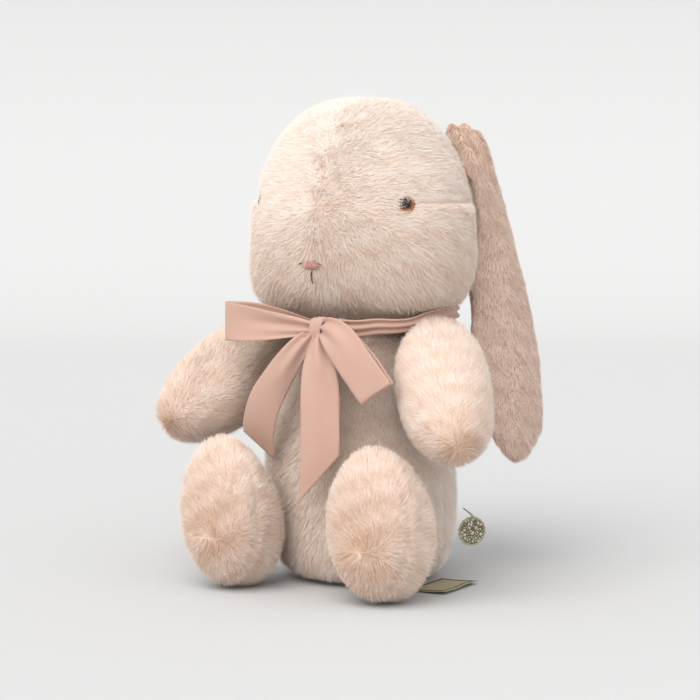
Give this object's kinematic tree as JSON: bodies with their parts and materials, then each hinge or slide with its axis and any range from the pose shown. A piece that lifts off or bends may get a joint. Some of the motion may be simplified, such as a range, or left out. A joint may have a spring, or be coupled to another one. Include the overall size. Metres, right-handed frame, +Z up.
{
  "type": "stuffed bunny rabbit",
  "caption": "Seated lop-eared plush rabbit with a soft pile cover, hanging ears, jointed soft limbs and a satin ribbon bow round its neck.",
  "frame": {"origin": "centre of the flat seat base, on the surface it sits on", "axes": "+Z up; the face looks along -Y; +X is the toy's own left"},
  "size_m": [0.251, 0.2021, 0.321],
  "materials": {
    "pile_fabric": "short dense pile",
    "ear_pile_fabric": "shorter pile",
    "stuffing": "loose fibre",
    "pellet_cloth": "plain cloth",
    "ribbon_satin": "satin",
    "eye_plastic": "glossy",
    "washer_plastic": "moulded",
    "nose_thread": "stitched",
    "mouth_thread": "stitched",
    "tag_card": "printed board",
    "tag_cord": "thread",
    "woven_label": "woven"
  },
  "bodies": {
    "torso": {"body_front_panel": "pile_fabric", "body_back_panel": "pile_fabric", "base_panel": "pile_fabric", "body_stuffing": "stuffing", "pellet_pouch": "pellet_cloth", "tail": "pile_fabric", "ribbon_neck_band": "ribbon_satin", "ribbon_knot": "ribbon_satin", "ribbon_left_loop": "ribbon_satin", "ribbon_right_loop": "ribbon_satin", "ribbon_center_tail": "ribbon_satin", "ribbon_right_tail": "ribbon_satin", "tag_thread": "tag_cord"},
    "neck": {"neck_stuffing": "stuffing"},
    "head": {"head_left_panel": "pile_fabric", "head_right_panel": "pile_fabric", "head_stuffing": "stuffing", "left_eye": "eye_plastic", "right_eye": "eye_plastic", "left_eye_washer": "washer_plastic", "right_eye_washer": "washer_plastic", "nose_embroidery": "nose_thread", "mouth_stitch": "mouth_thread"},
    "swing_tag": {"swing_tag": "tag_card"},
    "label": {"sewn_label": "woven_label"},
    "left_ear": {"left_ear_outer_panel": "ear_pile_fabric", "left_ear_lining_panel": "pile_fabric"},
    "left_arm": {"left_arm_outer_panel": "pile_fabric", "left_arm_inner_panel": "pile_fabric", "left_arm_stuffing": "stuffing"},
    "left_leg": {"left_leg_outer_panel": "pile_fabric", "left_leg_inner_panel": "pile_fabric", "left_foot_sole": "pile_fabric", "left_leg_stuffing": "stuffing"},
    "right_ear": {"right_ear_outer_panel": "ear_pile_fabric", "right_ear_lining_panel": "pile_fabric"},
    "right_arm": {"right_arm_outer_panel": "pile_fabric", "right_arm_inner_panel": "pile_fabric", "right_arm_stuffing": "stuffing"},
    "right_leg": {"right_leg_outer_panel": "pile_fabric", "right_leg_inner_panel": "pile_fabric", "right_foot_sole": "pile_fabric", "right_leg_stuffing": "stuffing"}
  },
  "joints": [
    {"name": "head_turn", "type": "hinge", "parent": "torso", "child": "neck", "pos_m": [0, 0, 0.1725], "axis": [0, 0, 1], "range_deg": [-8, 8]},
    {"name": "head_nod", "type": "hinge", "parent": "neck", "child": "head", "pos_m": [0, 0, 0.1725], "axis": [1, 0, 0], "range_deg": [-6, 4]},
    {"name": "left_ear_lift", "type": "hinge", "parent": "head", "child": "left_ear", "pos_m": [0.0393, 0.0399, 0.2975], "axis": [0.53, -0.848, 0], "range_deg": [0, 100]},
    {"name": "right_ear_lift", "type": "hinge", "parent": "head", "child": "right_ear", "pos_m": [-0.0393, 0.0399, 0.2975], "axis": [0.53, 0.848, 0], "range_deg": [0, 100]},
    {"name": "left_arm_swing", "type": "hinge", "parent": "torso", "child": "left_arm", "pos_m": [0.055, -0.0115, 0.148], "axis": [-1, 0, 0], "range_deg": [-5, 45]},
    {"name": "right_arm_swing", "type": "hinge", "parent": "torso", "child": "right_arm", "pos_m": [-0.055, -0.0115, 0.148], "axis": [-1, 0, 0], "range_deg": [-5, 45]},
    {"name": "left_leg_lift", "type": "hinge", "parent": "torso", "child": "left_leg", "pos_m": [0.0545, -0.039, 0.033], "axis": [-1, 0, 0], "range_deg": [-20, 5]},
    {"name": "right_leg_lift", "type": "hinge", "parent": "torso", "child": "right_leg", "pos_m": [-0.049, -0.045, 0.033], "axis": [-1, 0, 0], "range_deg": [-20, 5]},
    {"name": "tag_swing", "type": "hinge", "parent": "torso", "child": "swing_tag", "pos_m": [0.0545, 0.0525, 0.0342], "axis": [0.788, -0.6157, 0], "range_deg": [-20, 20]},
    {"name": "label_lift", "type": "hinge", "parent": "torso", "child": "label", "pos_m": [0.0525, -0.008, 0.0004], "axis": [0, -1, 0], "range_deg": [0, 40]}
  ]
}
